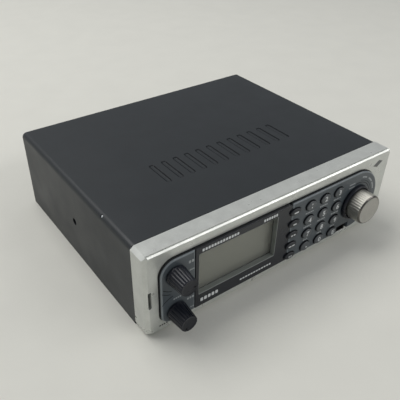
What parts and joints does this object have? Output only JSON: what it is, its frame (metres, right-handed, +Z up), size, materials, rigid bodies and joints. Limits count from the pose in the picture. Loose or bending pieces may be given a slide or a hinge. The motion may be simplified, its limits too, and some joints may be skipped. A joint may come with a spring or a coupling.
{
  "type": "police scanner",
  "caption": "Boxy desktop radio receiver with a folded steel case, silver front frame, display window, oval keys, small fluted dials and a large scroll knob.",
  "frame": {"origin": "middle of the overall footprint, on the plane the case stands on", "axes": "+Z up, the front panel faces -Y, +X is to the right of a person facing the front"},
  "size_m": [0.184, 0.176, 0.0545],
  "materials": {
    "silver_paint": "satin silver paint on plastic",
    "case_paint": "fine matte charcoal coating on sheet steel",
    "fascia_grey": "satin dark grey moulded plastic",
    "frame_black": "semi-gloss black moulded plastic",
    "key_grey": "satin dark grey key caps with pale numbers",
    "fn_black": "semi-gloss near-black key caps",
    "lens_clear": "clear acrylic window",
    "lcd": "unlit liquid crystal display, olive grey",
    "backlight_white": "translucent white light guide",
    "knob_black": "satin black moulded plastic",
    "knob_silver": "plated knob with a polished rim",
    "steel": "plain zinc plated steel",
    "magnet": "ferrite magnet",
    "plastic_black": "black moulded plastic",
    "plastic_white": "white moulded plastic",
    "nickel": "bright nickel plating",
    "circuit_board": "green glass-epoxy laminate",
    "mat_rubber": "silicone rubber",
    "cone_paper": "treated paper cone"
  },
  "bodies": {
    "root": {"front_bezel": "silver_paint", "top_cover": "case_paint", "bottom_cover": "case_paint", "rear_panel": "case_paint", "knob_fascia": "fascia_grey", "keypad_fascia": "fascia_grey", "display_frame": "frame_black", "display_lens": "lens_clear", "lcd_glass": "lcd", "lcd_backlight": "backlight_white", "scroll_collar": "knob_black", "squelch_pot": "steel", "volume_pot": "steel", "encoder_body": "steel", "left_mount_nut": "steel", "right_mount_nut": "steel", "rf_shield": "steel", "speaker_basket": "steel", "bottom_screw_1": "steel", "bottom_screw_2": "steel", "bottom_screw_3": "steel", "bottom_screw_4": "steel", "speaker_magnet": "magnet", "data_port": "plastic_black", "dc_jack": "plastic_black", "speaker_jack": "plastic_black", "record_jack": "plastic_black", "power_connector": "plastic_white", "ribbon_cable": "plastic_white", "antenna_jack": "nickel", "serial_port": "nickel", "keypad_pcb": "circuit_board", "front_pcb": "circuit_board", "main_pcb": "circuit_board", "key_mat": "mat_rubber", "speaker_cone": "cone_paper"},
    "squelch_dial": {"squelch_knob": "knob_black", "squelch_shaft": "steel"},
    "volume_dial": {"volume_knob": "knob_black", "volume_shaft": "steel"},
    "scroll_rotor": {"encoder_rotor": "plastic_black"},
    "scroll_dial": {"scroll_knob": "knob_silver", "scroll_shaft": "steel"},
    "key_1_cap": {"key_1": "key_grey"},
    "key_2_cap": {"key_2": "key_grey"},
    "key_3_cap": {"key_3": "key_grey"},
    "key_4_cap": {"key_4": "key_grey"},
    "key_5_cap": {"key_5": "key_grey"},
    "key_6_cap": {"key_6": "key_grey"},
    "key_7_cap": {"key_7": "key_grey"},
    "key_8_cap": {"key_8": "key_grey"},
    "key_9_cap": {"key_9": "key_grey"},
    "key_dot_cap": {"key_dot": "key_grey"},
    "key_0_cap": {"key_0": "key_grey"},
    "key_enter_cap": {"key_enter": "key_grey"},
    "key_fn_1_cap": {"key_fn_1": "fn_black"},
    "key_fn_2_cap": {"key_fn_2": "fn_black"},
    "key_fn_3_cap": {"key_fn_3": "fn_black"},
    "key_fn_4_cap": {"key_fn_4": "fn_black"},
    "key_fn_5_cap": {"key_fn_5": "fn_black"}
  },
  "joints": [
    {"name": "squelch_turn", "type": "hinge", "parent": "root", "child": "squelch_dial", "pos_m": [-0.0752, -0.074, 0.0384], "axis": [0, 1, 0], "range_deg": [-240, 60]},
    {"name": "volume_turn", "type": "hinge", "parent": "root", "child": "volume_dial", "pos_m": [-0.0752, -0.074, 0.0135], "axis": [0, 1, 0], "range_deg": [0, 300]},
    {"name": "scroll_turn", "type": "hinge", "parent": "root", "child": "scroll_rotor", "pos_m": [0.0604, -0.074, 0.0272], "axis": [0, 1, 0], "continuous": true},
    {"name": "scroll_push", "type": "slide", "parent": "scroll_rotor", "child": "scroll_dial", "axis": [0, 1, 0], "range_m": [0, 0.0006], "stiffness_N_per_m": 2500, "springref_m": -0.0006},
    {"name": "key_1_press", "type": "slide", "parent": "root", "child": "key_1_cap", "axis": [0, 1, 0], "range_m": [0, 0.0008], "stiffness_N_per_m": 900, "springref_m": -0.0005},
    {"name": "key_2_press", "type": "slide", "parent": "root", "child": "key_2_cap", "axis": [0, 1, 0], "range_m": [0, 0.0008], "stiffness_N_per_m": 900, "springref_m": -0.0005},
    {"name": "key_3_press", "type": "slide", "parent": "root", "child": "key_3_cap", "axis": [0, 1, 0], "range_m": [0, 0.0008], "stiffness_N_per_m": 900, "springref_m": -0.0005},
    {"name": "key_4_press", "type": "slide", "parent": "root", "child": "key_4_cap", "axis": [0, 1, 0], "range_m": [0, 0.0008], "stiffness_N_per_m": 900, "springref_m": -0.0005},
    {"name": "key_5_press", "type": "slide", "parent": "root", "child": "key_5_cap", "axis": [0, 1, 0], "range_m": [0, 0.0008], "stiffness_N_per_m": 900, "springref_m": -0.0005},
    {"name": "key_6_press", "type": "slide", "parent": "root", "child": "key_6_cap", "axis": [0, 1, 0], "range_m": [0, 0.0008], "stiffness_N_per_m": 900, "springref_m": -0.0005},
    {"name": "key_7_press", "type": "slide", "parent": "root", "child": "key_7_cap", "axis": [0, 1, 0], "range_m": [0, 0.0008], "stiffness_N_per_m": 900, "springref_m": -0.0005},
    {"name": "key_8_press", "type": "slide", "parent": "root", "child": "key_8_cap", "axis": [0, 1, 0], "range_m": [0, 0.0008], "stiffness_N_per_m": 900, "springref_m": -0.0005},
    {"name": "key_9_press", "type": "slide", "parent": "root", "child": "key_9_cap", "axis": [0, 1, 0], "range_m": [0, 0.0008], "stiffness_N_per_m": 900, "springref_m": -0.0005},
    {"name": "key_dot_press", "type": "slide", "parent": "root", "child": "key_dot_cap", "axis": [0, 1, 0], "range_m": [0, 0.0008], "stiffness_N_per_m": 900, "springref_m": -0.0005},
    {"name": "key_0_press", "type": "slide", "parent": "root", "child": "key_0_cap", "axis": [0, 1, 0], "range_m": [0, 0.0008], "stiffness_N_per_m": 900, "springref_m": -0.0005},
    {"name": "key_enter_press", "type": "slide", "parent": "root", "child": "key_enter_cap", "axis": [0, 1, 0], "range_m": [0, 0.0008], "stiffness_N_per_m": 900, "springref_m": -0.0005},
    {"name": "key_fn_1_press", "type": "slide", "parent": "root", "child": "key_fn_1_cap", "axis": [0, 1, 0], "range_m": [0, 0.0008], "stiffness_N_per_m": 900, "springref_m": -0.0005},
    {"name": "key_fn_2_press", "type": "slide", "parent": "root", "child": "key_fn_2_cap", "axis": [0, 1, 0], "range_m": [0, 0.0008], "stiffness_N_per_m": 900, "springref_m": -0.0005},
    {"name": "key_fn_3_press", "type": "slide", "parent": "root", "child": "key_fn_3_cap", "axis": [0, 1, 0], "range_m": [0, 0.0008], "stiffness_N_per_m": 900, "springref_m": -0.0005},
    {"name": "key_fn_4_press", "type": "slide", "parent": "root", "child": "key_fn_4_cap", "axis": [0, 1, 0], "range_m": [0, 0.0008], "stiffness_N_per_m": 900, "springref_m": -0.0005},
    {"name": "key_fn_5_press", "type": "slide", "parent": "root", "child": "key_fn_5_cap", "axis": [0, 1, 0], "range_m": [0, 0.0008], "stiffness_N_per_m": 900, "springref_m": -0.0005}
  ]
}
